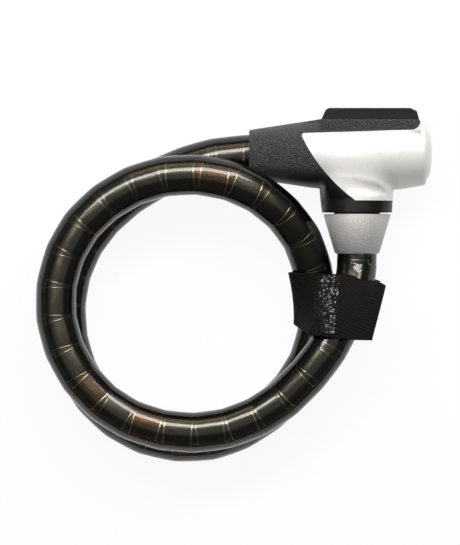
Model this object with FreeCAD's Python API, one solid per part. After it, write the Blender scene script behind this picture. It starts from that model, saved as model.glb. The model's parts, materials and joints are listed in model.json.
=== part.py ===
import FreeCAD, Part
import math
import os

# Armoured key cable lock, lying on its coil with the head beside it, in millimetres.
# X runs to the right along the head, Y away from the coil's lower edge, Z up from the surface it lies on.
V = FreeCAD.Vector

# Cable: an armour of straight steel casings on a wire rope, in a clear tube.
jacket_d = 21.0
jacket_wall = 1.5
jacket_sides = 16
casing_play = 0.25
casing_pitch = 17.1
casing_end_gap = 1.5
cable_end = 16.0
tube_play = 0.25
rope_d = 8.4
rope_play = 0.3
rope_sides = 8
casing_sides = 10
casing_bore_sides = 6
head_sides = 40
inner_sides = 24

# The cable's route: straight runs between these points, eased by arcs, from the head's boot round to the plug.
cable_route = [
    (5, 68.5, 20), (-6, 68.5, 20), (-35, 59, 12.6), (-57, 46.5, 10), (-76, 28, 10), (-87, 5.5, 10),
    (-89.5, -19.5, 10), (-83.5, -46, 10), (-67, -68.5, 10), (-41.8, -82.2, 10), (-11.5, -83.4, 10),
    (14.4, -71, 10), (34.4, -51, 11.6), (44.7, -27, 13.6), (43.4, 0, 14.2), (36, 26, 23), (16.5, 46.5, 33.5),
    (-9, 57, 38.4), (-36.5, 57.5, 37.2), (-62, 48, 33.6), (-83, 29, 32.2), (-93.8, 2, 31.9),
    (-92.6, -26, 31.9), (-79.5, -52, 31.9), (-58, -70, 31.9), (-30.5, -78, 31.9), (-3, -75.8, 31.9),
    (20.3, -64.8, 32.8), (36.8, -49.2, 35), (48.8, -34, 36.4), (57.9, -15.5, 33), (62.7, -2, 26),
    (64.5, 6, 20), (64.5, 13, 20),
]

# Head: a barrel along X with a neck down to the plug.
head_y = 68.5
head_z = 20.0
boot_x = 7.8
boot_r = 12.7
belly_left_x = 40.0
belly_left_r = 17.6
belly_x = 63.0
belly_r = 19.4
belly_right_x = 86.0
belly_right_r = 18.6
barrel_end_x = 100.5
barrel_end_r = 16.3
skin = 2.2
skin_play = 0.2
rim_chamfer = 0.8
inner_neck_r = 12.8

# Neck and plug.
plug_x = 64.5
neck_r = 18.4
neck_top_y = 62.5
neck_top_half_x = 20.9
neck_top_half_z = 13.5
collar_y = 45.2
collar_tilt = 0.183
collar_half_x = 19.0
collar_half_z = 18.1
neck_bottom_y = 37.9
neck_split_y = 44.0
neck_ring_r = 12.1
neck_ring_h = 0.8
ferrule_top_r = 17.8
ferrule_bottom_r = 11.6
ferrule_h = 20.8
ferrule_gap = 0.1
shank_r = 7.0
shank_reach = 27.0
shank_tip = 1.2
socket_play = 0.05
ferrule_cap = 5.0
ferrule_edge = 0.7
washer_r = 11.0
washer_t = 1.0
pin_r = 1.25
boot_anchor_len = 27.0
plug_anchor_len = 16.5
anchor_cap = 2.5

# Bracket block on top of the head.
block_left_x = 45.6
block_right_x = 96.6
block_top_y = 92.4
block_seat_y = 86.4
block_half_z = 12.5
block_recess_in = 9.0
block_recess_out = 3.6
block_recess_foot = 0.2
block_recess_rim = 1.3
block_recess_depth = 0.3
screw_in = 14.5
screw_hole_r = 1.8
screw_hole_depth = 3.0
screw_head_r = 1.75
screw_head_h = 1.6
screw_drive_r = 0.9
pad_half_z = 14.6
pad_foot = 4.0
pad_crest = 1.2
shoulder_steps = [(29.5, 83.2, 3.0), (37.9, 85.5, 5.0), (48.0, 87.2, 7.0)]
shoulder_base_y = 76.0
shoulder_base_half = 13.0

# Key cylinder, from the barrel's end inwards.
sleeve_r = 9.5
sleeve_len = 14.5
rotor_r = 6.5
rotor_play = 0.05
keyway_w = 2.2
keyway_h = 8.4
cover_r = 13.9
cover_play = 0.3
cover_rise = 2.9
cover_disc = 2.2
cover_spigot_r = 11.5
cover_spigot_len = 3.0
cam_r = 13.9
cam_disc = 2.2
cam_lead = 12.0
cam_low = 0.6
cam_play = 0.12
cam_reach = 15.0
cam_inside = 0.8
cam_steps = 12
bolt_r = 2.4
bolt_off = 10.5
bolt_travel = 3.0
shank_groove_r = 4.0

# Strap round the two neighbouring stretches of cable.
strap_top_y = 4.8
strap_bottom_y = -27.2
strap_t = 1.5
strap_play = 1.1
strap_height_split = 19.0
strap_turns = 8
crest_turns = 3
ear_angle = 34.0
ear_drop = 3.0
hook_play = 0.15
hook_from = 0.45
hook_to = 0.97
strap_ear_top = (73.5, 79.2)
strap_ear_bottom_x = 71.6
hook_t = 0.7


def direction(a, b):
    d = b - a
    return d * (1 / d.Length)


def barrel_outline(inset):
    """Half section of the barrel, as straight tapers; an inset of one wall gives the plainer inside."""
    rise = (belly_left_r - boot_r) / (belly_left_x - boot_x)
    fall = (belly_right_r - barrel_end_r) / (barrel_end_x - belly_right_x)
    if inset:
        return [
            V(boot_x + inset, boot_r - inset + rise * inset, 0), V(belly_left_x, belly_left_r - inset, 0),
            V(belly_x, belly_r - inset, 0), V(belly_right_x, belly_right_r - inset, 0),
            V(barrel_end_x - inset, barrel_end_r - inset + fall * inset, 0),
        ]
    c = rim_chamfer
    left_bulge = belly_left_r + 0.72 * (belly_r - belly_left_r)
    right_bulge = belly_right_r + 0.78 * (belly_r - belly_right_r)
    return [
        V(boot_x, boot_r - c, 0), V(boot_x + c, boot_r + rise * c, 0), V(belly_left_x, belly_left_r, 0),
        V((belly_left_x + belly_x) / 2, left_bulge, 0), V(belly_x, belly_r, 0),
        V((belly_x + belly_right_x) / 2, right_bulge, 0), V(belly_right_x, belly_right_r, 0),
        V(barrel_end_x - c, barrel_end_r + fall * c, 0), V(barrel_end_x, barrel_end_r - c, 0),
    ]


def turned(outline, at, axis, sides):
    """Many-sided body whose rings follow a half section along X or Y."""
    rings = []
    for p in outline:
        ring = []
        for k in range(sides):
            a = 2 * math.pi * (k + 0.5) / sides
            if axis.x:
                ring.append(at + V(p.x, p.y * math.cos(a), p.y * math.sin(a)))
            else:
                ring.append(at + V(p.x * math.sin(a), p.y, p.x * math.cos(a)))
        rings.append(ring)
    return rod_solid(rings)


def barrel(inset):
    sides = inner_sides if inset else head_sides
    return turned(barrel_outline(inset), V(0, head_y, head_z), V(1, 0, 0), sides)


def oval(half_x, half_z, y):
    """Many-sided oval about the plug's axis, in the plane across it."""
    turns = [2 * math.pi * (k + 0.5) / head_sides for k in range(head_sides)]
    return [V(plug_x + half_x * math.sin(a), y, head_z + half_z * math.cos(a)) for a in turns]


def neck(inset):
    if inset:
        radius = inner_neck_r + skin - inset
        outline = [V(radius, neck_bottom_y + inset, 0), V(radius, head_y, 0)]
        return turned(outline, V(plug_x, 0, head_z), V(0, 1, 0), inner_sides)
    low = oval(neck_r, neck_r, neck_bottom_y)
    collar = oval(collar_half_x, collar_half_z, collar_y)
    for p in collar:
        p.y += collar_tilt * (p.x - plug_x)
    high = oval(neck_top_half_x, neck_top_half_z, neck_top_y)
    return rod_solid([low, collar, high])


def pad(inset):
    """Shoulder that carries the bracket block."""
    y0 = head_y + pad_foot
    half = pad_half_z - inset
    box = Part.makeBox(
        block_right_x - block_left_x + 1.0 - 2 * inset, block_seat_y - y0 - inset, 2 * half,
        V(block_left_x - 0.5 + inset, y0, head_z - half),
    )
    if inset == 0:
        crest = [g for g in box.Edges if g.BoundBox.YMin > block_seat_y - 1e-6]
        box = box.makeFillet(pad_crest, crest)
    return box


def shoulder():
    """Smooth rise from the boot's back up to the foot of the bracket block."""
    rings = []
    for x, y, half in shoulder_steps:
        base = V(x, shoulder_base_y, head_z)
        crest = V(x, y, head_z)
        rings.append([
            base - V(0, 0, shoulder_base_half), crest - V(0, 0, half),
            crest + V(0, 0, half), base + V(0, 0, shoulder_base_half),
        ])
    return rod_solid(rings)


def envelope(inset):
    body = barrel(inset).fuse(neck(inset)).fuse(pad(inset))
    if inset == 0:
        body = body.fuse(shoulder())
    return body.removeSplitter()


def silver_outline():
    """Edge of the painted cover as seen from the front, through the whole head."""
    far = barrel_end_x + 5
    top = head_y + 30
    corner = 1.8
    a = V(35.4, 77.4, 0)
    b = V(36.6, 79.2, 0)
    c = V(92.6, 80.9, 0)
    d = V(95.9, 82.3, 0)
    e = V(97.2, 85.6, 0)
    points_down = [
        V(e.x, top, 0), V(far, top, 0), V(far, neck_split_y, 0), V(63.2, neck_split_y, 0),
    ]
    edges = [
        Part.Arc(a, V(a.x + 0.2, a.y + corner * 0.7, 0), b).toShape(), Part.makeLine(b, c),
        Part.Arc(c, d, e).toShape(), Part.makeLine(e, points_down[0]),
    ]
    for p, q in zip(points_down, points_down[1:]):
        edges.append(Part.makeLine(p, q))
    edges.append(Part.Arc(points_down[-1], V(47.2, 59.0, 0), V(39.2, 70.2, 0)).toShape())
    edges.append(Part.makeLine(V(39.2, 70.2, 0), a))
    face = Part.Face(Part.Wire(Part.__sortEdges__(edges)))
    face.translate(V(0, 0, head_z - 40))
    return face.extrude(V(0, 0, 80))


def head_covers():
    outer = envelope(0)
    inner = envelope(skin)
    prism = silver_outline()
    end_hole = Part.makeCylinder(cover_r + cover_play, 20, V(barrel_end_x - 10, head_y, head_z), V(1, 0, 0))
    cable_hole = Part.makeCylinder(
        jacket_d / 2 + tube_play, 20, V(boot_x - 5, head_y, head_z), V(1, 0, 0)
    )
    socket = Part.makeCylinder(neck_ring_r - 1.6, 20, V(plug_x, neck_bottom_y - 10, head_z), V(0, 1, 0))
    wall = outer.cut(inner)
    silver = wall.common(prism).cut(end_hole)
    black = wall.cut(prism).cut(cable_hole).cut(socket)
    return black, silver


def bracket_block():
    length = block_right_x - block_left_x
    height = block_top_y - block_seat_y
    a = V(block_left_x, block_seat_y, 0)
    b = V(block_left_x + 2.3, block_top_y - 0.9, 0)
    c = V(block_left_x + 4.0, block_top_y, 0)
    d = V(block_right_x - 4.6, block_top_y, 0)
    e = V(block_right_x - 1.2, block_top_y - 1.6, 0)
    f = V(block_right_x, block_seat_y, 0)
    face = Part.Face(Part.makePolygon([a, b, c, d, e, f, a]))
    face.translate(V(0, 0, head_z - block_half_z))
    block = face.extrude(V(0, 0, 2 * block_half_z))
    along = [
        g for g in block.Edges
        if g.BoundBox.YMin > block_top_y - 1.7 and g.BoundBox.ZLength < 0.01
    ]
    block = block.makeFillet(0.7, along)
    for side in (-1, 1):
        z = head_z + side * block_half_z
        run = length - block_recess_in - block_recess_out
        recess = Part.makeBox(
            run, height - block_recess_foot - block_recess_rim, 2 * block_recess_depth,
            V(block_left_x + block_recess_in, block_seat_y + block_recess_foot, z - block_recess_depth),
        )
        block = block.cut(recess)
    for x in (block_left_x + screw_in, block_right_x - screw_in):
        start = V(x, block_top_y - screw_hole_depth, head_z)
        block = block.cut(Part.makeCylinder(screw_hole_r, screw_hole_depth, start, V(0, 1, 0)))
    return block.cut(envelope(0))


def block_screws():
    """Two countersunk screws that hold the bracket block down."""
    screws = []
    for x in (block_left_x + screw_in, block_right_x - screw_in):
        foot = V(x, block_top_y - screw_hole_depth, head_z)
        head = Part.makeCylinder(screw_head_r, screw_head_h, foot, V(0, 1, 0))
        turns = [math.radians(60 * k) for k in range(7)]
        hexagon = Part.makePolygon([V(math.cos(a), 0, math.sin(a)) * screw_drive_r for a in turns])
        drive = Part.Face(hexagon).extrude(V(0, screw_head_h, 0))
        drive.translate(foot + V(0, screw_head_h / 2, 0))
        screws.append(head.cut(drive))
    return Part.Compound(screws)


def sleeve_end():
    return barrel_end_x - skin


def cam_x():
    return sleeve_end() - sleeve_len - cam_disc


def bolt_y():
    return head_y - bolt_off


def lock_case():
    """Die-cast body that fills the covers and carries the socket, the cylinder and the cable's end."""
    case = envelope(skin + skin_play)
    bores = [
        Part.makeCylinder(sleeve_r, sleeve_len + 3, V(sleeve_end() - sleeve_len, head_y, head_z), V(1, 0, 0)),
        Part.makeCylinder(
            cover_spigot_r + cover_play, cover_spigot_len + 3,
            V(sleeve_end() - cover_spigot_len, head_y, head_z), V(1, 0, 0),
        ),
        Part.makeCylinder(
            cam_r + cover_play, cam_disc + cam_full() + 0.4,
            V(cam_x() - cam_full() - 0.4, head_y, head_z), V(1, 0, 0),
        ),
        Part.makeCylinder(
            shank_r + 1.5, shank_reach + 2, V(plug_x, neck_bottom_y, head_z), V(0, 1, 0)
        ),
        Part.makeCylinder(bolt_r + socket_play, 14, V(plug_x + 4, bolt_y(), head_z), V(1, 0, 0)),
        Part.makeCylinder(
            jacket_d / 2 + tube_play, cable_end + 4, V(cable_route[0][0] - 3.5, head_y, head_z), V(1, 0, 0)
        ),
        Part.makeCylinder(anchor_r(), boot_anchor_len, V(boot_x, head_y, head_z), V(1, 0, 0)),
    ]
    for bore in bores:
        case = case.cut(bore)
    return case


def socket_bush():
    bush = Part.makeCylinder(shank_r + 1.5, shank_reach + 1, V(plug_x, neck_bottom_y, head_z), V(0, 1, 0))
    bore = Part.makeCylinder(
        shank_r + socket_play, shank_reach, V(plug_x, neck_bottom_y - 0.5, head_z), V(0, 1, 0)
    )
    bolt_hole = Part.makeCylinder(bolt_r + socket_play, 14, V(plug_x + 2, bolt_y(), head_z), V(1, 0, 0))
    return bush.cut(bore).cut(bolt_hole)


def neck_ring():
    outline = [V(neck_ring_r, neck_bottom_y - neck_ring_h, 0), V(neck_ring_r, neck_bottom_y, 0)]
    ring = turned(outline, V(plug_x, 0, head_z), V(0, 1, 0), head_sides)
    return ring.cut(
        Part.makeCylinder(shank_r + 0.6, 5, V(plug_x, neck_bottom_y - 3, head_z), V(0, 1, 0))
    )


def cylinder_sleeve():
    at = V(sleeve_end() - sleeve_len, head_y, head_z)
    sleeve = Part.makeCylinder(sleeve_r, sleeve_len, at, V(1, 0, 0))
    return sleeve.cut(Part.makeCylinder(rotor_r + rotor_play, sleeve_len, at, V(1, 0, 0)))


def cam_height(angle):
    return cam_low + cam_lead * angle / 360


def cam_full():
    return cam_height(90 + 2 * cam_reach)


def cam_ramp(lift):
    """Ramp on the rotor's tail that drives the bolt over a quarter turn."""
    sweep = 90 + 2 * cam_reach
    inner = bolt_off - bolt_r - cam_inside
    back = cam_x() + cam_disc / 2
    rings = []
    for k in range(cam_steps + 1):
        turn = sweep * k / cam_steps
        a = math.radians(turn - 90 - cam_reach)
        face = cam_x() - lift - cam_height(turn)
        corners = ((inner, face), (cam_r, face), (cam_r, back), (inner, back))
        rings.append([V(x, head_y + r * math.sin(a), head_z + r * math.cos(a)) for r, x in corners])
    return rod_solid(rings)


def rotor():
    start = cam_x()
    body = Part.makeCylinder(rotor_r, sleeve_len + cam_disc, V(start, head_y, head_z), V(1, 0, 0))
    disc = Part.makeCylinder(cam_r, cam_disc - 0.15, V(start, head_y, head_z), V(1, 0, 0))
    keyway = Part.makeBox(
        sleeve_len - 1.5, keyway_h, keyway_w,
        V(sleeve_end() - sleeve_len + 1.5, head_y - keyway_h / 2, head_z - keyway_w / 2),
    )
    return body.fuse(disc).fuse(cam_ramp(0)).cut(keyway)


def locking_bolt():
    start = plug_x + shank_r + 0.1
    rod = Part.makeCylinder(bolt_r, cam_x() - start, V(start, bolt_y(), head_z), V(1, 0, 0))
    return rod.cut(cam_ramp(cam_play))


def dust_cover():
    x0 = sleeve_end() + cam_play
    x1 = x0 + cover_disc
    crown = x0 + cover_disc + cover_rise
    outline = [V(x0, cover_r, 0), V(x1, cover_r, 0)]
    for part in (0.3, 0.6, 0.85):
        outline.append(V(x1 + cover_rise * (1 - (1 - part) ** 2), cover_r * math.sqrt(1 - part), 0))
    outline.append(V(crown, cover_r * 0.12, 0))
    cap = turned(outline, V(0, 0, 0), V(1, 0, 0), head_sides)
    spigot = Part.makeCylinder(cover_spigot_r, cover_spigot_len, V(x0 - cover_spigot_len + 0.2, 0, 0), V(1, 0, 0))
    spigot = spigot.cut(Part.makeCylinder(sleeve_r + 0.3, 9, V(x0 - 9, 0, 0), V(1, 0, 0)))
    slot = Part.makeBox(12, keyway_w + 0.6, keyway_h + 0.8, V(x0 - 3, -keyway_w / 2 - 0.3, -keyway_h / 2 - 0.4))
    cap = cap.fuse(spigot).cut(slot)
    cap.translate(V(0, head_y, head_z))
    return cap


def anchor_r():
    return jacket_d / 2 - jacket_wall - casing_play


def rope_socket(start, along, length):
    """Steel end sleeve: the rope is swaged into it and the clear tube is pushed over it."""
    sleeve = Part.makeCylinder(anchor_r(), length, start, along)
    return sleeve.cut(Part.makeCylinder(rope_d / 2 + rope_play, length - anchor_cap, start, along))


def cable_anchor():
    return rope_socket(V(boot_x, head_y, head_z), V(1, 0, 0), boot_anchor_len)


def ferrule_top():
    return neck_bottom_y - neck_ring_h - ferrule_gap


def ferrule():
    """Tapered casting that carries the shank and grips the cable's end."""
    top, low = ferrule_top(), ferrule_top() - ferrule_h
    e = ferrule_edge
    lean = (ferrule_top_r - ferrule_bottom_r) / ferrule_h
    outline = [
        V(ferrule_bottom_r - e, low, 0), V(ferrule_bottom_r + e * lean, low + e, 0),
        V(ferrule_top_r - e * lean, top - e, 0), V(ferrule_top_r - e, top, 0),
    ]
    body = turned(outline, V(plug_x, 0, head_z), V(0, 1, 0), head_sides)
    up = V(0, 1, 0)
    for radius, start, end in (
        (jacket_d / 2 + tube_play, low - 1, cable_route[-1][1] + cable_end + 0.3),
        (anchor_r(), low, anchor_start() + plug_anchor_len),
        (shank_r, low, top + 1),
        (washer_r, top - washer_t, top + 1),
    ):
        body = body.cut(Part.makeCylinder(radius, end - start, V(plug_x, start, head_z), up))
    return body.cut(plug_pin())


def anchor_start():
    return ferrule_top() - ferrule_cap - plug_anchor_len


def plug_anchor():
    return rope_socket(V(plug_x, anchor_start(), head_z), V(0, 1, 0), plug_anchor_len)


def plug_shank():
    """Steel pin that enters the socket, with the groove that the bolt drops into."""
    start = anchor_start() + plug_anchor_len
    tip = neck_bottom_y + shank_reach - 1.0
    half = bolt_r + 0.4
    outline = [
        V(shank_r, start, 0), V(shank_r, bolt_y() - half, 0), V(shank_groove_r, bolt_y() - half, 0),
        V(shank_groove_r, bolt_y() + half, 0), V(shank_r, bolt_y() + half, 0), V(shank_r, tip - shank_tip, 0),
        V(shank_r - shank_tip, tip, 0),
    ]
    return turned(outline, V(plug_x, 0, head_z), V(0, 1, 0), head_sides).cut(plug_pin())


def plug_pin():
    y = ferrule_top() - ferrule_cap / 2 - washer_t / 2
    return Part.makeCylinder(pin_r, 9.0, V(plug_x + shank_r - 4.0, y, head_z), V(1, 0, 0))


def plug_washer():
    start = V(plug_x, ferrule_top() - washer_t, head_z)
    ring = Part.makeCylinder(washer_r, washer_t, start, V(0, 1, 0))
    return ring.cut(Part.makeCylinder(shank_r, washer_t, start, V(0, 1, 0)))


def crossing(joints, y, lower):
    """Where the cable's line passes the plane at y inside the strap, and which way it runs there."""
    for a, b in zip(joints, joints[1:]):
        low, high = sorted((a.y, b.y))
        middle = (a + b) * 0.5
        if low <= y < high and middle.x > belly_left_x and (middle.z < strap_height_split) == lower:
            t = (y - a.y) / (b.y - a.y)
            return V(a.x + (b.x - a.x) * t, y, a.z + (b.z - a.z) * t), direction(a, b)
    return None


def strap_rows():
    count = 8
    return [strap_top_y + (strap_bottom_y - strap_top_y) * k / count for k in range(count + 1)]


def strap_line(joints, y):
    """The two stretches at one place along them, the way across and the upper side."""
    low, high = crossing(joints, y, True), crossing(joints, y, False)
    across = direction(low[0], high[0])
    return low, high, across, V(-across.z, 0, across.x)


def beside(stretch, way, radius):
    """Point at a clear distance from a stretch that may run aslant through the plane."""
    centre, run = stretch
    return centre + way * (radius / math.sqrt(1 - way.dot(run) ** 2))


def bend(stretch, start, end, radius, turns):
    """Points round a stretch, turning from one angle to another, in degrees from up towards +X."""
    points = []
    for k in range(turns + 1):
        a = math.radians(start + (end - start) * k / turns)
        points.append(beside(stretch, V(math.sin(a), 0, math.cos(a)), radius))
    return points


def strap_front(low, high, out, radius):
    """Edges of the patch of hooks on the slanting front, at a distance from the cable."""
    a, b = beside(low, out, radius), beside(high, out, radius)
    return [a + (b - a) * part for part in (hook_from, hook_to)]


def strap_ring(joints, y, radius, ear):
    """Taut loop round both stretches, with the free end standing out past the upper one where asked."""
    low, high, across, out = strap_line(joints, y)
    lean = math.degrees(math.atan2(out.x, out.z))
    under = bend(high, ear_angle, 180 + lean, radius, strap_turns)
    under += bend(low, 180 + lean, 360 + lean, radius, strap_turns)
    over = strap_front(low, high, out, radius) + bend(high, lean, 0, radius, crest_turns)
    if not ear:
        return over + under
    t = (y - strap_top_y) / (strap_bottom_y - strap_top_y)
    first, widest = strap_ear_top
    reach = first + (widest - first) * t / 0.25 if t < 0.25 else (
        widest + (strap_ear_bottom_x - widest) * (t - 0.25) / 0.75
    )
    tip = V(reach, y, over[-1].z - ear_drop)
    return over + [tip, tip - V(0, 0, strap_t)] + under


def strap_band(joints):
    """Hook-and-loop strap drawn round two neighbouring stretches of the cable."""
    inner_r = jacket_d / 2 + strap_play
    outer = [strap_ring(joints, y, inner_r + strap_t, True) for y in strap_rows()]
    inner = [strap_ring(joints, y, inner_r, False) for y in strap_rows()]
    return sleeve_solid(outer, inner)


def strap_hooks(joints):
    """Patch of hooks on the strap's slanting front."""
    face = jacket_d / 2 + strap_play + strap_t
    rings = []
    for y in strap_rows():
        low, high, across, out = strap_line(joints, y)
        a, b = (p + out * hook_play for p in strap_front(low, high, out, face))
        rings.append([a, b, b + out * hook_t, a + out * hook_t])
    return rod_solid(rings)


def route_wire():
    points = [V(*p) for p in cable_route]
    edges, at = [], points[0]
    for p, q, s in zip(points, points[1:], points[2:]):
        back, on = direction(q, p), direction(q, s)
        half = (math.pi - back.getAngle(on)) / 2
        reach = 0.45 * min(p.distanceToPoint(q), q.distanceToPoint(s))
        radius = reach / math.tan(half)
        middle = back + on
        middle.normalize()
        top = q + middle * (radius / math.cos(half) - radius)
        edges.append(Part.makeLine(at, q + back * reach))
        edges.append(Part.Arc(q + back * reach, top, q + on * reach).toShape())
        at = q + on * reach
    edges.append(Part.makeLine(at, points[-1]))
    return Part.Wire(edges)


def armour_joints():
    """Centres of the armour's joints, one casing apart along the route, and the ends inside the fittings."""
    wire = route_wire()
    count = round(wire.Length / casing_pitch)
    start, end = V(*cable_route[0]), V(*cable_route[-1])
    into_boot = direction(V(*cable_route[1]), start) * cable_end
    into_plug = direction(V(*cable_route[-2]), end) * cable_end
    return [start + into_boot] + [V(p) for p in wire.discretize(Number=count + 1)] + [end + into_plug]


def rings_along(joints, radius, sides):
    """One polygon per joint, in the plane that halves the bend there."""
    first = direction(joints[0], joints[1])
    up = V(0, 0, 1)
    side = first.cross(up)
    side.normalize()
    up = side.cross(first)
    ring = []
    for k in range(sides):
        a = 2 * math.pi * (k + 0.5) / sides
        ring.append(joints[0] + side * (radius * math.sin(a)) + up * (radius * math.cos(a)))
    rings = [ring]
    for i in range(1, len(joints)):
        run = direction(joints[i - 1], joints[i])
        normal = run if i == len(joints) - 1 else run + direction(joints[i], joints[i + 1])
        ring = [p + run * ((joints[i] - p).dot(normal) / run.dot(normal)) for p in ring]
        rings.append(ring)
    return rings


def strips(rings, floor):
    """Flat faces between neighbouring polygons, kept above the floor."""
    if floor:
        rings = [[V(p.x, p.y, max(p.z, 0.0)) for p in ring] for ring in rings]
    faces = []
    for a, b in zip(rings, rings[1:]):
        for k in range(len(a)):
            n = (k + 1) % len(a)
            quad = [a[k], a[n], b[n], b[k]]
            off = (quad[1] - quad[0]).cross(quad[3] - quad[0])
            off.normalize()
            if abs((quad[2] - quad[0]).dot(off)) < 1e-6:
                faces.append(Part.Face(Part.makePolygon(quad + quad[:1])))
            else:
                faces.append(Part.Face(Part.makePolygon([quad[0], quad[1], quad[2], quad[0]])))
                faces.append(Part.Face(Part.makePolygon([quad[0], quad[2], quad[3], quad[0]])))
    return faces, rings


def closed_solid(faces):
    shell = Part.makeShell(faces)
    shell.sewShape()
    solid = Part.Solid(shell)
    solid.fix(1e-6, 1e-6, 1e-6)
    if solid.Volume < 0:
        solid.reverse()
    return solid


def rod_solid(rings):
    """Solid with the given polygons as its cross sections."""
    faces, rings = strips(rings, False)
    ends = [Part.Face(Part.makePolygon(rings[i] + rings[i][:1])) for i in (0, -1)]
    return closed_solid(faces + ends)


def sleeve_solid(outer, inner):
    """Hollow solid between outer and inner polygons, open at both ends."""
    outer_faces, outer = strips(outer, True)
    inner_faces, inner = strips(inner, False)
    ends = []
    for i in (0, -1):
        hole = Part.makePolygon(inner[i] + inner[i][:1])
        rim = Part.makePolygon(outer[i] + outer[i][:1])
        ends.append(Part.Face([rim, hole]))
    return closed_solid(outer_faces + inner_faces + ends)


def clear_tube(joints):
    outer = rings_along(joints, jacket_d / 2, jacket_sides)
    return sleeve_solid(outer, rings_along(joints, jacket_d / 2 - jacket_wall, jacket_sides))


def wire_rope(joints):
    return rod_solid(rings_along(joints, rope_d / 2, rope_sides))


def prism(start, run, length, radius, sides):
    """Straight many-sided bar with the given outer radius."""
    ring = rings_along([start, start + run * length], radius, sides)[0]
    return Part.Face(Part.makePolygon(ring + ring[:1])).extrude(run * length)


def casings(joints):
    """Straight steel casings, each on the chord between two joints."""
    radius = (jacket_d / 2 - jacket_wall) * math.cos(math.pi / jacket_sides) - casing_play
    bore = (rope_d / 2 + rope_play) / math.cos(math.pi / casing_bore_sides)
    pieces = []
    for a, b in zip(joints[1:-2], joints[2:-1]):
        run = direction(a, b)
        length = a.distanceToPoint(b) - 2 * casing_end_gap
        start = a + run * casing_end_gap
        hole = prism(start, run, length, bore, casing_bore_sides)
        pieces.append(prism(start, run, length, radius, casing_sides).cut(hole))
    return Part.Compound(pieces)


def drawn_tube_volume(joints):
    """Section of the drawn wall times the length of the drawn line."""
    outer, inner = jacket_d / 2, jacket_d / 2 - jacket_wall
    section = jacket_sides * math.sin(2 * math.pi / jacket_sides) / 2 * (outer ** 2 - inner ** 2)
    return section * Part.makePolygon(joints).Length


def least_gap(joints):
    """Least distance between two stretches of the cable's surface, on points 2 mm apart."""
    line = Part.makePolygon(joints)
    points = line.discretize(Distance=2.0)
    apart = int(60 / 2)
    return min(
        p.distanceToPoint(q) for i, p in enumerate(points) for q in points[i + apart:]
    ) - jacket_d


def main():
    os.makedirs("parts", exist_ok=True)
    joints = armour_joints()
    black, silver = head_covers()
    parts = {
        "housing": black,
        "silver_cover": silver,
        "bracket_block": bracket_block(),
        "block_screws": block_screws(),
        "lock_case": lock_case(),
        "socket_bush": socket_bush(),
        "neck_ring": neck_ring(),
        "cylinder_sleeve": cylinder_sleeve(),
        "rotor": rotor(),
        "locking_bolt": locking_bolt(),
        "dust_cover": dust_cover(),
        "cable_anchor": cable_anchor(),
        "clear_tube": clear_tube(joints),
        "wire_rope": wire_rope(joints),
        "armour_casings": casings(joints),
        "ferrule": ferrule(),
        "plug_shank": plug_shank(),
        "plug_washer": plug_washer(),
        "plug_pin": plug_pin(),
        "plug_anchor": plug_anchor(),
        "strap_band": strap_band(joints),
        "strap_hooks": strap_hooks(joints),
    }
    for name, shape in parts.items():
        print(name, shape.isValid(), len(shape.Solids), round(shape.Volume), shape.BoundBox)
        shape.exportStep("parts/" + name + ".step")
    print("cable length", round(route_wire().Length, 1), "casings", len(parts["armour_casings"].Solids))
    print("tube outer and inner radius", jacket_d / 2, jacket_d / 2 - jacket_wall, "rope radius", rope_d / 2)
    print("tube volume", round(parts["clear_tube"].Volume), "section by length", round(drawn_tube_volume(joints)))
    print("least gap of the cable to itself", round(least_gap(joints), 2))


main()
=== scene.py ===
import bisect
import bmesh
import bpy
import json
import math
import random
from mathutils import Matrix, Vector
from mathutils.bvhtree import BVHTree

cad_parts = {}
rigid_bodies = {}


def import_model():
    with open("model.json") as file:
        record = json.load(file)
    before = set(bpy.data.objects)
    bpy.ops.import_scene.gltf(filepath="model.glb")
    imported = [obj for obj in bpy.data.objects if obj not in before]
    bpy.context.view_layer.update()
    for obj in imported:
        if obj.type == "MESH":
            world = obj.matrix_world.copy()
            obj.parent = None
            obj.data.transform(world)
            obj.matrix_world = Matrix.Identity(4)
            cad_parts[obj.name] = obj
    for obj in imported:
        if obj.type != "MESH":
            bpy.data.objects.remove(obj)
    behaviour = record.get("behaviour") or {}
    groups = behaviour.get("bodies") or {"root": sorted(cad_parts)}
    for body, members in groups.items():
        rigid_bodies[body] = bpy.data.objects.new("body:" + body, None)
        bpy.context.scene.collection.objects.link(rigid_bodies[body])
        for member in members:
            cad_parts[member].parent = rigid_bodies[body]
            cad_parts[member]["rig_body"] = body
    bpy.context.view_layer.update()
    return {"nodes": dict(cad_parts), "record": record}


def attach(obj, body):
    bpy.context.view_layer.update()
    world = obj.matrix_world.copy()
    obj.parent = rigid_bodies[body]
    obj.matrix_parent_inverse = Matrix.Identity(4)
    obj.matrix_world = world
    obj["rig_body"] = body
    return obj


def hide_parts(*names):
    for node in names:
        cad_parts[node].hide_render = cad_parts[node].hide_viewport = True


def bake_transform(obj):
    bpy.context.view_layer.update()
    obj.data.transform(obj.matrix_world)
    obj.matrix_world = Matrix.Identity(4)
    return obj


# Armoured key cable lock, seen from straight above the surface that its coil lies on. Metres.
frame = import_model()
print("stage: frame loaded", len(frame["nodes"]), "nodes")

up = Vector((0, 0, 1))


def hexColor(code):  # sRGB hex to the linear colour that a shader takes
    channels = [int(code[i:i + 2], 16) / 255 for i in (1, 3, 5)]
    linear = [c / 12.92 if c <= 0.04045 else ((c + 0.055) / 1.055) ** 2.4 for c in channels]
    return (*linear, 1.0)


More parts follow.
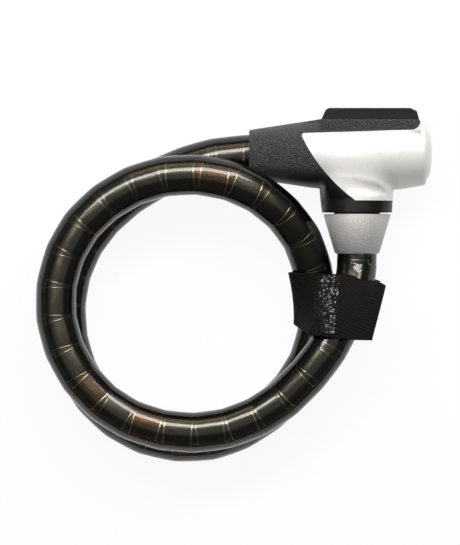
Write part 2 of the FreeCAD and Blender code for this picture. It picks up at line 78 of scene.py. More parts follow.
# Adds a node with its settings, values and links, and gives its outputs back. A kind without the word Node is of the
# tree's own family: TexNoise in a material is ShaderNodeTexNoise. A text with a hash is a colour.
def addNode(tree, kind, inputs=None, stops=(), **settings):
    node = tree.nodes.new(kind if "Node" in kind else tree.bl_idname[:-len("Tree")] + kind)
    for name, value in settings.items():
        setattr(node, name, value)
    for name, value in (inputs or {}).items():
        if isinstance(value, bpy.types.NodeSocket):
            tree.links.new(value, node.inputs[name])
        else:
            node.inputs[name].default_value = hexColor(value) if str(value).startswith("#") else value
    if stops:  # of a colour ramp, each a place and an sRGB hex
        elements = node.color_ramp.elements
        while len(elements) < len(stops):
            elements.new(0.5)
        for element, (place, code) in zip(elements, stops):
            element.position = place
            element.color = hexColor(code)
    return node.outputs


def newMaterial(name):  # the material, its empty tree and the coordinates of the piece that it is on
    material = bpy.data.materials.new(name)
    material.use_nodes = True
    material.node_tree.nodes.clear()
    return material, material.node_tree, addNode(material.node_tree, "TexCoord")


def finishMaterial(material, shader):
    addNode(material.node_tree, "OutputMaterial", {"Surface": shader[0]})
    return material


def linkObject(name, data):
    piece = bpy.data.objects.new(name, data)
    bpy.context.scene.collection.objects.link(piece)
    return piece


def meshFrom(name, points, faces):
    mesh = bpy.data.meshes.new(name)
    mesh.from_pydata([tuple(p) for p in points], [], faces)
    mesh.validate()
    mesh.update()
    return mesh


def appliedMesh(piece, name):  # the evaluated shape as a plain mesh, with the modifiers gone
    bpy.context.view_layer.update()
    depsgraph = bpy.context.evaluated_depsgraph_get()
    mesh = bpy.data.meshes.new_from_object(piece.evaluated_get(depsgraph), depsgraph=depsgraph)
    mesh.name = name
    return mesh


def smoothShading(mesh, angle):  # smooth, but sharp where faces meet at more than the angle in degrees
    mesh.polygons.foreach_set("use_smooth", [True] * len(mesh.polygons))
    mesh.set_sharp_from_angle(angle=math.radians(angle))


def circle(sides):  # cosine and sine at each side of a round
    return [(math.cos(2 * math.pi * k / sides), math.sin(2 * math.pi * k / sides)) for k in range(sides)]


def ringFaces(rings, sides, base=0, flip=False):  # quads between rings of points that follow one another
    faces = []
    for i in range(rings - 1):
        one, two = base + i * sides, base + (i + 1) * sides
        for k in range(sides):
            n = (k + 1) % sides
            quad = (one + k, one + n, two + n, two + k)
            faces.append(quad[::-1] if flip else quad)
    return faces


def shareOf(value, whole):  # how far a value has come, from 0 to 1
    return min(max(value / whole, 0.0), 1.0)


def alongLine(line, x):  # value of a line of (place, value) points at x
    for (a, va), (b, vb) in zip(line, line[1:]):
        if x <= b:
            return va + (vb - va) * shareOf(x - a, b - a)
    return line[-1][1]


def patternTree(name, sockets):  # a Geometry Nodes tree with named inputs, and those inputs' sockets
    tree = bpy.data.node_groups.new(name, "GeometryNodeTree")
    for label, kind in {"Geometry": "Geometry", **sockets}.items():
        tree.interface.new_socket(label, in_out="INPUT", socket_type="NodeSocket" + kind)
    tree.interface.new_socket("Geometry", in_out="OUTPUT", socket_type="NodeSocketGeometry")
    return tree, addNode(tree, "NodeGroupInput")


def endPattern(tree, copies, name, value, material):  # each copy keeps a value, then all become one real mesh
    kept = addNode(tree, "StoreNamedAttribute", {
        "Geometry": copies["Instances"], "Name": name, "Value": value,
    }, data_type="FLOAT", domain="INSTANCE")
    real = addNode(tree, "RealizeInstances", {"Geometry": kept["Geometry"]})
    coated = addNode(tree, "SetMaterial", {"Geometry": real["Geometry"], "Material": material})
    addNode(tree, "NodeGroupOutput", {"Geometry": coated["Geometry"]})


def runPattern(name, carrier, tree, values):  # what the tree makes of a carrier, as a plain piece in its place
    modifier = carrier.modifiers.new(name, "NODES")
    modifier.node_group = tree
    for item in tree.interface.items_tree:
        if item.in_out == "INPUT" and item.name in values:
            modifier[item.identifier] = values[item.name]
    mesh = appliedMesh(carrier, name)
    bpy.data.objects.remove(carrier)
    return linkObject(name, mesh)


# Camera: straight down, with the photograph's framing.
cameraSize = {"distance": 2.4, "sensor": 36.0, "frameHeight": 0.28613, "centre": (-0.00218, 0.00638), "focusZ": 0.02}


def makeCamera():
    data = bpy.data.cameras.new("photoCamera")
    camera = linkObject("photoCamera", data)
    data.sensor_fit = "VERTICAL"
    data.sensor_height = cameraSize["sensor"]
    data.lens = cameraSize["sensor"] * cameraSize["distance"] / cameraSize["frameHeight"]
    x, y = cameraSize["centre"]
    camera.location = (x, y, cameraSize["focusZ"] + cameraSize["distance"])
    data.clip_end = 20
    bpy.context.scene.camera = camera


makeCamera()

# The cable's route, from inside the head's boot, one and three quarter times round, to inside the plug.
cableRoute = [
    (0.021, 0.0685, 0.02), (-0.006, 0.0685, 0.02), (-0.035, 0.059, 0.0126), (-0.057, 0.0465, 0.01),
    (-0.076, 0.028, 0.01), (-0.087, 0.0055, 0.01), (-0.0895, -0.0195, 0.01), (-0.0835, -0.046, 0.01),
    (-0.067, -0.0685, 0.01), (-0.0418, -0.0822, 0.01), (-0.0115, -0.0834, 0.01), (0.0144, -0.071, 0.01),
    (0.0344, -0.051, 0.0116), (0.0447, -0.027, 0.0136), (0.0434, 0, 0.0142), (0.036, 0.026, 0.023),
    (0.0165, 0.0465, 0.0335), (-0.009, 0.057, 0.0384), (-0.0365, 0.0575, 0.0372), (-0.062, 0.048, 0.0336),
    (-0.083, 0.029, 0.0322), (-0.0938, 0.002, 0.0319), (-0.0926, -0.026, 0.0319), (-0.0795, -0.052, 0.0319),
    (-0.058, -0.07, 0.0319), (-0.0305, -0.078, 0.0319), (-0.003, -0.0758, 0.0319),
    (0.0203, -0.0648, 0.0328), (0.0368, -0.0492, 0.035), (0.0488, -0.034, 0.0364), (0.0579, -0.0155, 0.033),
    (0.0627, -0.002, 0.026), (0.0645, 0.006, 0.02), (0.0645, 0.029, 0.02),
]
cable = {
    "radius": 0.0105, "wall": 0.0015, "sides": 48, "pitch": 0.0171, "first": 0.0139, "stepsPerCasing": 9,
    "corner": 0.55, "cornerPower": 6,  # how nearly the tube follows the straight casings
    "coilCentre": (-0.018, -0.012), "casingShift": 0.00035, "casingSteps": 12,  # casings lie to the inside
    "strands": 6, "strandRadius": 0.0014, "strandCentre": 0.0028, "strandLay": 0.032, "strandSides": 8,
    "ropeStep": 0.0025, "ropeMargin": 0.004, "plugEnd": (0.0645, 0.0161, 0.020), "bootEnd": (0.0078, 0.0685, 0.020),
}


def routePoints():  # the route's own NURBS line, read back as points
    curve = bpy.data.curves.new("cableLine", "CURVE")
    curve.dimensions = "3D"
    curve.resolution_u = 24
    spline = curve.splines.new("NURBS")
    spline.points.add(len(cableRoute) - 1)
    for point, place in zip(spline.points, cableRoute):
        point.co = (*place, 1)
    spline.order_u = 3
    spline.use_endpoint_u = True
    line = linkObject("cableLine", curve)
    mesh = appliedMesh(line, "cableLine")
    points = [v.co.copy() for v in mesh.vertices]
    bpy.data.objects.remove(line)
    bpy.data.meshes.remove(mesh)
    return points


def lengthsAlong(points):
    lengths = [0.0]
    for a, b in zip(points, points[1:]):
        lengths.append(lengths[-1] + (b - a).length)
    return lengths


linePoints = routePoints()
lineLengths = lengthsAlong(linePoints)
casingCount = int((lineLengths[-1] - cable["first"]) / cable["pitch"])
jointPlaces = [cable["first"] + cable["pitch"] * k for k in range(casingCount + 1)]  # of the armour, along the line


def pointAt(distance):  # on the cable's line
    distance = min(max(distance, 0.0), lineLengths[-1] - 1e-9)
    k = bisect.bisect_right(lineLengths, distance) - 1
    part = (distance - lineLengths[k]) / (lineLengths[k + 1] - lineLengths[k])
    return linePoints[k].lerp(linePoints[k + 1], part)


def tubeCentres():
    # Each casing is straight, so between two joints the tube's line is drawn part of the way to their chord.
    places = [0.0] + jointPlaces + [lineLengths[-1]]
    centres = []
    for a, b in zip(places, places[1:]):
        start, end = pointAt(a), pointAt(b)
        lift = pointAt((a + b) / 2) - start.lerp(end, 0.5)
        for k in range(cable["stepsPerCasing"]):
            t = k / cable["stepsPerCasing"]
            flat = 1 - (2 * t - 1) ** cable["cornerPower"]
            smooth = pointAt(a + (b - a) * t)
            bow = smooth - start.lerp(end, t)
            centres.append(smooth - bow * cable["corner"] * flat + lift * cable["corner"] * 0.5)
    return centres + [linePoints[-1].copy()]


def framesAlong(centres):  # each point with its side and top, untwisted along the line
    frames = []
    side = None
    for i, centre in enumerate(centres):
        before, after = centres[max(i - 1, 0)], centres[min(i + 1, len(centres) - 1)]
        run = (after - before).normalized()
        side = run.cross(up) if side is None else side - run * side.dot(run)
        side.normalize()
        frames.append((centre, side.copy(), side.cross(run).normalized()))
    return frames


def tubeMesh(name, frames):  # both walls and the cut ends, kept above the ground that it lies on
    points = []
    radius, sides = cable["radius"], cable["sides"]
    for r in (radius, radius - cable["wall"]):
        for centre, side, top in frames:
            for c, s in circle(sides):
                point = centre + side * (r * c) + top * (r * s)
                point.z = max(point.z, radius - r)
                points.append(point)
    shellSize = sides * len(frames)
    faces = ringFaces(len(frames), sides, flip=True) + ringFaces(len(frames), sides, base=shellSize)
    for i, flip in ((0, False), (len(frames) - 1, True)):
        for k in range(sides):
            n = (k + 1) % sides
            one, two = i * sides, shellSize + i * sides
            quad = (one + k, one + n, two + n, two + k)
            faces.append(quad[::-1] if flip else quad)
    mesh = meshFrom(name, points, faces)
    outer = mesh.attributes.new("outerWall", "FLOAT", "POINT")
    outer.data.foreach_set("value", [1.0 if i < shellSize else 0.0 for i in range(len(points))])
    smoothShading(mesh, 60)
    mesh.materials.append(finishes["smoky_tube"])
    return mesh


def ropeMesh(name, first, last):  # one strand in the middle and the others laid round it
    steps = max(int((last - first) / cable["ropeStep"]), 2)
    places = [first + (last - first) * k / steps for k in range(steps + 1)]
    frames = framesAlong([pointAt(place) for place in places])
    sides, r = cable["strandSides"], cable["strandRadius"]
    vertices, faces = [], []
    for strand in range(cable["strands"] + 1):
        out = 0.0 if strand == 0 else cable["strandCentre"]
        base = len(vertices)
        for place, (centre, side, top) in zip(places, frames):
            turn = 2 * math.pi * (strand / cable["strands"] + place / cable["strandLay"])
            middle = centre + side * (out * math.cos(turn)) + top * (out * math.sin(turn))
            vertices += [middle + side * (r * c) + top * (r * s) for c, s in circle(sides)]
        faces += ringFaces(len(frames), sides, base, flip=True)
        for end, flip in ((0, False), (steps, True)):
            ring = tuple(base + end * sides + k for k in range(sides))
            faces.append(ring[::-1] if flip else ring)
    mesh = meshFrom(name, vertices, faces)
    smoothShading(mesh, 50)
    mesh.materials.append(finishes["rope_steel"])
    return mesh


centreLine = tubeCentres()
cableFrames = framesAlong(centreLine)
seam = min(range(len(centreLine)), key=lambda i: centreLine[i].x)  # the coil's leftmost point, where two cords meet
print("stage: cable line", round(lineLengths[-1], 4), "m,", casingCount, "casings")


# One casing's turned profile: a rolled bright lip and a groove at both ends, and a ball that enters the next one.
# Each row is how deep it lies under the casing's radius, its place from the end and how bare the steel is there.
casing = {
    "radius": 0.0085, "sides": 48,
    "lip": [
        (0.00045, 0.00092, 0), (0.0002, 0.00096, 0.6), (-0.00002, 0.00112, 1), (-0.00008, 0.00136, 1),
        (-0.00002, 0.0016, 1), (0.0002, 0.00176, 0.6), (0.00045, 0.0018, 0), (0.00045, 0.00208, 0),
        (0.00005, 0.00214, 0), (0, 0.0023, 0),
    ],
    "ball": [(0.0042, -0.0016, 0), (0.0011, -0.0016, 0), (0.0007, -0.0008, 0), (0.00055, 0, 0)],
    "socket": [(0.0042, -0.0009, 0), (0.0008, -0.0009, 0), (0.0007, 0, 0)],
}


def casingShape():  # along Z, closed from the socket's bore back to the ball's
    half, sides = cable["pitch"] / 2, casing["sides"]
    profile = [(depth, z - half, bare) for depth, z, bare in casing["ball"] + casing["lip"]]
    profile += [(depth, half - z, bare) for depth, z, bare in (casing["socket"] + casing["lip"])[::-1]]
    points, bareness = [], []
    for depth, z, bare in profile:
        radius = casing["radius"] - depth
        points += [(radius * c, radius * s, z) for c, s in circle(sides)]
        bareness += [float(bare)] * sides
    faces = [tuple(i % len(points) for i in face) for face in ringFaces(len(profile) + 1, sides)]
    mesh = meshFrom("casingShape", points, faces)
    smoothShading(mesh, 50)
    around = mesh.uv_layers.new(name="UVMap")  # U along the casing, V round it: the turning marks run along V
    for polygon in mesh.polygons:
        last = polygon.vertices[0] % sides == sides - 1
        for loop in polygon.loop_indices:
            vertex = mesh.loops[loop].vertex_index
            turn = vertex % sides + (sides if last and vertex % sides == 0 else 0)
            around.data[loop].uv = (points[vertex][2] / cable["pitch"], turn / sides)
    mesh.attributes.new("bareSteel", "FLOAT", "POINT").data.foreach_set("value", bareness)
    mesh.attributes.new("alongCasing", "FLOAT", "POINT").data.foreach_set("value", [p[2] for p in points])
    return mesh


def casingTree(material):
    tree, given = patternTree("casingsAlongCable", {"Casing": "Object", "Casings": "Int", "Tint seed": "Int"})
    places = addNode(tree, "CurveToPoints", {"Curve": given["Geometry"], "Count": given["Casings"]}, mode="COUNT")
    shape = addNode(tree, "ObjectInfo", {"Object": given["Casing"]})
    copies = addNode(tree, "InstanceOnPoints", {
        "Points": places["Points"], "Instance": shape["Geometry"], "Rotation": places["Rotation"],
    })
    chance = addNode(tree, "FunctionNodeRandomValue", {"Seed": given["Tint seed"]}, data_type="FLOAT")
    endPattern(tree, copies, "heatTint", chance["Value"], material)
    return tree


def casingsBetween(name, first, last, tree, shape, seed):  # casings from one joint to another, as one mesh
    mids = [(jointPlaces[k] + jointPlaces[k + 1]) / 2 for k in range(first, last)]
    curve = bpy.data.curves.new(name, "CURVE")
    curve.dimensions = "3D"
    spline = curve.splines.new("POLY")
    steps = (len(mids) - 1) * cable["casingSteps"]
    spline.points.add(steps)
    for k in range(steps + 1):
        place = pointAt(mids[0] + (mids[-1] - mids[0]) * k / steps)
        inward = Vector((*cable["coilCentre"], 0)) - Vector((place.x, place.y, 0))
        spline.points[k].co = (*(place + inward.normalized() * cable["casingShift"]), 1)
    return runPattern(name, linkObject(name, curve), tree, {"Casing": shape, "Casings": len(mids), "Tint seed": seed})


# Materials. Grains to the metre of each pattern, from its real size. The camera sees 0.5 mm, so flake, grit and fuzz
# that are finer in the real thing are drawn as coarse as they need to show.
perMetre = {
    "heatCloud": 160.0,  # blueing drifts over 6 mm
    "ripple": 260.0,  # extruded wall, 4 mm
    "turning": 900.0,  # 1.1 mm
    "flake": 2200.0,  # 0.5 mm, really under 0.1
    "sparkGrain": 1500.0,  # 0.7 mm, really about 0.2
    "polish": 700.0,  # 1.4 mm
    "bloom": 500.0,  # 2 mm
    "speck": 1300.0,  # 0.8 mm, really about 0.3
    "paintCloud": 70.0,  # 14 mm
    "fuzz": 1300.0,  # 0.8 mm, really under 0.1
    "nylon": 900.0,  # 1.1 mm
}
turningPitch = 0.0011
ribPitch = 0.0014
stitchPitch = 0.0012


def waveScale(pitch):  # a wave texture has 20 / (2 pi) waves to the unit at scale 1
    return 2 * math.pi / (20 * pitch)


def casingSteel():
    # Case-hardened steel, turned and blued: olive brown, straw where the heat has tinted it, with bare bright lips
    # at the ends and, on some casings, turning marks 1.1 mm apart that catch the light one by one.
    material, tree, place = newMaterial("blued hardened steel")
    tint = addNode(tree, "Attribute", attribute_name="heatTint")
    bare = addNode(tree, "Attribute", attribute_name="bareSteel")
    along = addNode(tree, "Attribute", attribute_name="alongCasing")
    cloud = addNode(tree, "TexNoise", {"Vector": place["Object"], "Scale": perMetre["heatCloud"], "Detail": 3.0})
    blued = addNode(tree, "ValToRGB", {"Fac": tint["Fac"]}, stops=[
        (0.0, "#605f58"), (0.6, "#5f5d56"), (0.9, "#6b6555"), (0.95, "#93623a"),
    ])
    clouded = addNode(tree, "Mix", {0: cloud["Fac"], 6: blued["Color"], 7: "#4d4c47"}, data_type="RGBA")
    colour = addNode(tree, "Mix", {0: bare["Fac"], 6: clouded[2], 7: "#eae8de"}, data_type="RGBA")
    rough = addNode(tree, "MapRange", {"Value": cloud["Fac"], "To Min": 0.30, "To Max": 0.39})
    polished = addNode(tree, "Mix", {0: bare["Fac"], 2: rough["Result"], 3: 0.2})
    turns = addNode(tree, "Math", {0: along["Fac"], 1: 2 * math.pi / turningPitch}, operation="MULTIPLY")
    wave = addNode(tree, "Math", {0: turns[0]}, operation="COSINE")
    marked = addNode(tree, "MapRange", {"Value": tint["Fac"], "From Min": 0.55, "From Max": 0.75})
    height = addNode(tree, "Math", {0: wave[0], 1: marked["Result"]}, operation="MULTIPLY")
    bump = addNode(tree, "Bump", {"Height": height[0], "Strength": 0.5, "Distance": 0.0001})
    lathe = addNode(tree, "Tangent", direction_type="UV_MAP", uv_map="UVMap")
    shader = addNode(tree, "BsdfPrincipled", {
        "Base Color": colour[2], "Metallic": 1.0, "Roughness": polished[0], "Anisotropic": 0.8, "Tangent": lathe[0],
        "Normal": bump["Normal"],
    })
    return finishMaterial(material, shader)


def smokyTube():
    # Plasticised PVC, extruded clear with a smoke tint: wet gloss outside. What it lets through depends on the
    # viewing angle: its own smoke tint face on, then a dark band part way out that is painted shade on the casings'
    # sides, and more again at the very rim. The bore is pressed on the casings and has no gloss of its own.
    material, tree, place = newMaterial("smoke tinted clear PVC")
    edge = addNode(tree, "LayerWeight", {"Blend": 0.5})
    # the dip around 0.37 is painted shade: it darkens the casings' sides seen through the wall
    tint = addNode(tree, "ValToRGB", {"Fac": edge["Facing"]}, stops=[
        (0.0, "#e4e2d8"), (0.26, "#d2d0c4"), (0.37, "#8b897a"), (0.45, "#96947f"), (0.62, "#aaa893"),
        (0.8, "#bab8a4"), (1.0, "#cdcab6"),
    ])
    outer = addNode(tree, "Attribute", attribute_name="outerWall")
    shade = addNode(tree, "Mix", {0: outer["Fac"], 6: "#f1f0ea", 7: tint["Color"]}, data_type="RGBA")
    ripple = addNode(tree, "TexNoise", {"Vector": place["Object"], "Scale": perMetre["ripple"], "Detail": 2.0})
    bump = addNode(tree, "Bump", {"Height": ripple["Fac"], "Strength": 0.08, "Distance": 0.0004})
    through = addNode(tree, "BsdfTransparent", {"Color": shade[2]})
    gloss = addNode(tree, "BsdfAnisotropic", {"Color": (1, 1, 1, 1), "Roughness": 0.13, "Normal": bump["Normal"]})
    mirror = addNode(tree, "Fresnel", {"IOR": 1.52, "Normal": bump["Normal"]})
    share = addNode(tree, "Math", {0: mirror[0], 1: outer["Fac"]}, operation="MULTIPLY")
    mix = addNode(tree, "MixShader", {0: share[0], 1: through[0], 2: gloss[0]})
    return finishMaterial(material, mix)


def bareMetal(name, code, rough):
    # Bare metal from the lathe, the die or the wire works: one even colour, its polish a little uneven.
    material, tree, place = newMaterial(name)
    grain = addNode(tree, "TexNoise", {"Vector": place["Object"], "Scale": perMetre["turning"], "Detail": 2.0})
    roughness = addNode(tree, "MapRange", {"Value": grain["Fac"], "To Min": rough * 0.8, "To Max": rough * 1.25})
    shader = addNode(tree, "BsdfPrincipled", {
        "Base Color": code, "Metallic": 1.0, "Roughness": roughness["Result"],
    })
    return finishMaterial(material, shader)


def speckledFinish(name, pattern, detail, stops, look, relief=None):  # one noise gives the tone and, if asked, a bump
    material, tree, place = newMaterial(name)
    speck = addNode(tree, "TexNoise", {"Vector": place["Object"], "Scale": perMetre[pattern], "Detail": detail})
    colour = addNode(tree, "ValToRGB", {"Fac": speck["Fac"]}, stops=stops)
    inputs = {"Base Color": colour["Color"], **look}
    if relief:
        strength, distance = relief
        bump = addNode(tree, "Bump", {"Height": speck["Fac"], "Strength": strength, "Distance": distance})
        inputs["Normal"] = bump["Normal"]
    shader = addNode(tree, "BsdfPrincipled", inputs)
    return finishMaterial(material, shader)


def silverPaint():
    # Silver lacquer on a smooth moulding: pale, satin, with metal flake too fine to show singly.
    return speckledFinish("satin silver lacquer", "flake", 2.0, [(0.35, "#dfdedb"), (0.65, "#ebeae7")], {
        "Metallic": 0.25, "Roughness": 0.42, "Coat Weight": 0.1, "Coat Roughness": 0.3,
    }, relief=(0.05, 0.0001))


def grainedBlack():
    # Black glass-filled nylon, moulded in a spark-eroded tool: matt with a fine glittering grain. The neck, below the
    # grain's edge, is smooth and darker.
    material, tree, place = newMaterial("black spark grained nylon")
    pattern = {"Vector": place["Object"], "Scale": perMetre["sparkGrain"]}
    grain = addNode(tree, "TexNoise", {**pattern, "Detail": 3.0})
    pits = addNode(tree, "TexVoronoi", pattern)
    rough = addNode(tree, "ValToRGB", {"Fac": grain["Fac"]}, stops=[(0.35, "#242424"), (0.7, "#58585a")])
    axes = addNode(tree, "SeparateXYZ", {0: place["Object"]})
    grained = addNode(tree, "MapRange", {"Value": axes["Y"], "From Min": 0.055, "From Max": 0.062})
    colour = addNode(tree, "Mix", {0: grained["Result"], 6: "#080808", 7: rough["Color"]}, data_type="RGBA")
    depth = addNode(tree, "Math", {0: grained["Result"], 1: pits["Distance"]}, operation="MULTIPLY")
    bump = addNode(tree, "Bump", {"Height": depth[0], "Strength": 1.0, "Distance": 0.0008})
    shader = addNode(tree, "BsdfPrincipled", {
        "Base Color": colour[2], "Roughness": 0.42, "Specular IOR Level": 0.32,
        "Normal": bump["Normal"],
    })
    return finishMaterial(material, shader)


def smoothBlack():
    # Black ABS from a polished tool: even, with a soft gloss.
    return speckledFinish("black polished ABS", "polish", 2.0, [(0.3, "#0d0d0d"), (0.7, "#141414")], {
        "Roughness": 0.5, "Specular IOR Level": 0.25,
    })


def blackRubber():
    # Moulded nitrile rubber: black and dull, with a faint grey bloom.
    return speckledFinish("black nitrile rubber", "bloom", 3.0, [(0.3, "#0f0f0f"), (0.7, "#1b1b1a")], {
        "Roughness": 0.6,
    })


def greyCasting():
    # Zinc casting under grey paint: mid grey, matt, with a fine speckle and a shallow orange peel.
    material, tree, place = newMaterial("grey painted zinc casting")
    speck = addNode(tree, "TexNoise", {"Vector": place["Object"], "Scale": perMetre["speck"], "Detail": 3.0})
    cloud = addNode(tree, "TexNoise", {"Vector": place["Object"], "Scale": perMetre["paintCloud"], "Detail": 2.0})
    fine = addNode(tree, "ValToRGB", {"Fac": speck["Fac"]}, stops=[(0.32, "#9a9894"), (0.68, "#cecccb")])
    colour = addNode(tree, "Mix", {0: cloud["Fac"], 6: fine["Color"], 7: "#b4b2b0"}, data_type="RGBA")
    bump = addNode(tree, "Bump", {"Height": speck["Fac"], "Strength": 0.4, "Distance": 0.0002})
    shader = addNode(tree, "BsdfPrincipled", {
        "Base Color": colour[2], "Metallic": 0.2, "Roughness": 0.5, "Normal": bump["Normal"],
    })
    return finishMaterial(material, shader)


def loopFabric():
    # Knitted nylon loop tape, black: slanting ribs 1.4 mm apart, deep and matt, the ribs' crests a little lighter in
    # colour.
    material, tree, place = newMaterial("black knitted loop tape")
    slant = addNode(tree, "Mapping", {"Vector": place["UV"], "Rotation": (0, 0, 0.26)})
    rib = addNode(tree, "TexWave", {
        "Vector": slant["Vector"], "Scale": waveScale(ribPitch), "Distortion": 5.0, "Detail": 3.0,
        "Detail Scale": 0.6,
    }, bands_direction="Y")
    fuzz = addNode(tree, "TexNoise", {"Vector": place["Object"], "Scale": perMetre["fuzz"], "Detail": 3.0})
    ribAndFuzz = {0: rib["Fac"], 1: fuzz["Fac"]}
    crestTone = addNode(tree, "Math", ribAndFuzz, operation="MULTIPLY")
    colour = addNode(tree, "ValToRGB", {"Fac": crestTone[0]}, stops=[(0.12, "#0c0c0c"), (0.6, "#181818")])
    height = addNode(tree, "Math", ribAndFuzz, operation="ADD")
    bump = addNode(tree, "Bump", {"Height": height[0], "Strength": 0.5, "Distance": 0.0003})
    shader = addNode(tree, "BsdfPrincipled", {
        "Base Color": colour["Color"], "Roughness": 0.85, "Specular IOR Level": 0.12,
        "Normal": bump["Normal"],
    })
    return finishMaterial(material, shader)


def hookNylon():
    # Nylon monofilament hooks. Each bent tip's glint is a painted highlight in its base colour, from dark grey to
    # white, some bright and most faint, over a dark random grain.
    material, tree, place = newMaterial("nylon monofilament hooks")
    glintLevel = addNode(tree, "Attribute", attribute_name="hookShine")
    grain = addNode(tree, "TexNoise", {"Vector": place["Object"], "Scale": perMetre["nylon"], "Detail": 2.0})
    glint = addNode(tree, "ValToRGB", {"Fac": glintLevel["Fac"]}, stops=[
        (0.0, "#0a0a0a"), (0.4, "#303030"), (0.75, "#a2a2a2"), (1.0, "#ffffff"),
    ])
    colour = addNode(tree, "Mix", {0: grain["Fac"], 6: glint["Color"], 7: "#141414"}, data_type="RGBA")
    shader = addNode(tree, "BsdfPrincipled", {"Base Color": colour[2], "Roughness": 0.3, "Specular IOR Level": 0.2})
    return finishMaterial(material, shader)


def hookBacking():
    # The woven tape that the hooks stand in: black, matt, ribbed by its rows of stitches 1.2 mm apart.
    material, tree, place = newMaterial("black woven hook tape")
    row = addNode(tree, "TexWave", {
        "Vector": place["UV"], "Scale": waveScale(stitchPitch), "Distortion": 1.0,
    }, bands_direction="X")
    colour = addNode(tree, "ValToRGB", {"Fac": row["Fac"]}, stops=[(0.3, "#060606"), (0.8, "#161616")])
    shader = addNode(tree, "BsdfPrincipled", {
        "Base Color": colour["Color"], "Roughness": 0.8, "Specular IOR Level": 0.15,
    })
    return finishMaterial(material, shader)


finishes = {
    "casing_steel": casingSteel(), "smoky_tube": smokyTube(), "silver_paint": silverPaint(),
    "black_plastic": grainedBlack(), "black_block": smoothBlack(), "black_rubber": blackRubber(),
    "ferrule_paint": greyCasting(), "strap_fabric": loopFabric(), "strap_hook": hookNylon(),
    "hook_tape": hookBacking(),
    "steel": bareMetal("turned bright steel", "#a9a9a8", 0.25),
    "rope_steel": bareMetal("galvanised wire", "#8a8883", 0.4),
    "die_cast": bareMetal("bare zinc casting", "#8f8f8e", 0.5),
    "brass": bareMetal("turned brass", "#c9a85c", 0.3),
    "silver_cap": silverPaint(),
}
print("stage: materials")

slotOf = {part["node"]: part["material_slot"] for part in frame["record"]["subparts"]}
for nodeName, node in frame["nodes"].items():
    node.data.materials.clear()
    node.data.materials.append(finishes[slotOf[nodeName]])


def standFor(nodeName):
    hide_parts(nodeName)


weldDistance = 2e-6


def weldedCopy(nodeName, angle):  # the CAD node's own shape, welded and shaded smooth
    node = frame["nodes"][nodeName]
    mesh = node.data.copy()
    shape = bmesh.new()
    shape.from_mesh(mesh)
    bmesh.ops.remove_doubles(shape, verts=shape.verts, dist=weldDistance)
    shape.to_mesh(mesh)
    shape.free()
    smoothShading(mesh, angle)
    piece = linkObject(nodeName + "Shown", mesh)
    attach(piece, node["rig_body"])
    standFor(nodeName)
    return piece


# The head's front. The solids are many-sided, with the neck set plainly into the barrel. Here their outer surface is
# cut into a fine grid and laid on the round forms, and the neck runs up into the barrel in one flat sweep.
head = {
    "y": 0.0685, "z": 0.020,  # the barrel's axis, which runs along X
    "profile": [(0.0078, 0.0127), (0.040, 0.0176), (0.063, 0.0194), (0.086, 0.0186), (0.1005, 0.0163)],
    "neckX": 0.0645, "neckWide": [(0.0379, 0.0184), (0.0452, 0.0190), (0.0625, 0.0209)],
    "neckTall": [(0.0379, 0.0184), (0.0452, 0.0181), (0.0625, 0.0186)], "squareLeft": 3.4, "squareRight": 2.1,
    "squareFrom": 0.0452, "squareOver": 0.006, "sinkFrom": 0.078, "sinkOver": 0.012, "sink": 0.1, "fillet": 0.0035,
}
skin = {  # which part of the solids' surface is laid on those forms, and how the move fades out at its edges
    "cell": 0.0011, "gridX": (0.0084, 0.0995), "gridY": (0.0385, 0.0815), "endX": 0.0990, "topY": 0.0800,
    "foot": 0.0385, "fadeEnd": 0.001, "fadeTop": 0.002, "fadeFoot": 0.0008, "fadeSide": 0.004, "rayGap": 0.00004,
    "deepest": 0.0028, "smooth": 24,
}
scoop = {  # the leaf-shaped hollow where the neck meets the barrel
    "crease": [(0.0500, 0.0563), (0.0635, 0.0560), (0.0740, 0.0532), (0.0805, 0.0492)], "foot": 0.0462,
    "depth": [(0.0500, 0.0002), (0.0620, 0.0007), (0.0745, 0.0017), (0.0805, 0.0003)],
}


def barrelHeight(x, y):
    radius = alongLine(head["profile"], x)
    return head["z"] + math.sqrt(max(radius ** 2 - (y - head["y"]) ** 2, 0.0))


def neckHeight(x, y):  # round at its foot, and square-shouldered where it runs up into the barrel
    u = (x - head["neckX"]) / alongLine(head["neckWide"], y)
    if y < skin["foot"] or abs(u) >= 1:
        return 0.0
    square = head["squareLeft"] if u < 0 else head["squareRight"]
    power = 2 + (square - 2) * shareOf(y - head["squareFrom"], head["squareOver"])
    kept = 1 - head["sink"] + head["sink"] * shareOf(head["sinkFrom"] - y, head["sinkOver"])
    return head["z"] + alongLine(head["neckTall"], y) * (1 - abs(u) ** power) ** (1 / power) * kept


def frontHeight(x, y):
    barrel, neck = barrelHeight(x, y), neckHeight(x, y)
    gap = max(head["fillet"] - abs(barrel - neck), 0.0) / head["fillet"]
    height = max(barrel, neck) + gap ** 2 * head["fillet"] / 4
    crease = alongLine(scoop["crease"], x)
    if scoop["foot"] < y < crease and scoop["crease"][0][0] < x < scoop["crease"][-1][0]:
        height -= alongLine(scoop["depth"], x) * math.sin(math.pi * (crease - y) / (crease - scoop["foot"]))
    return height


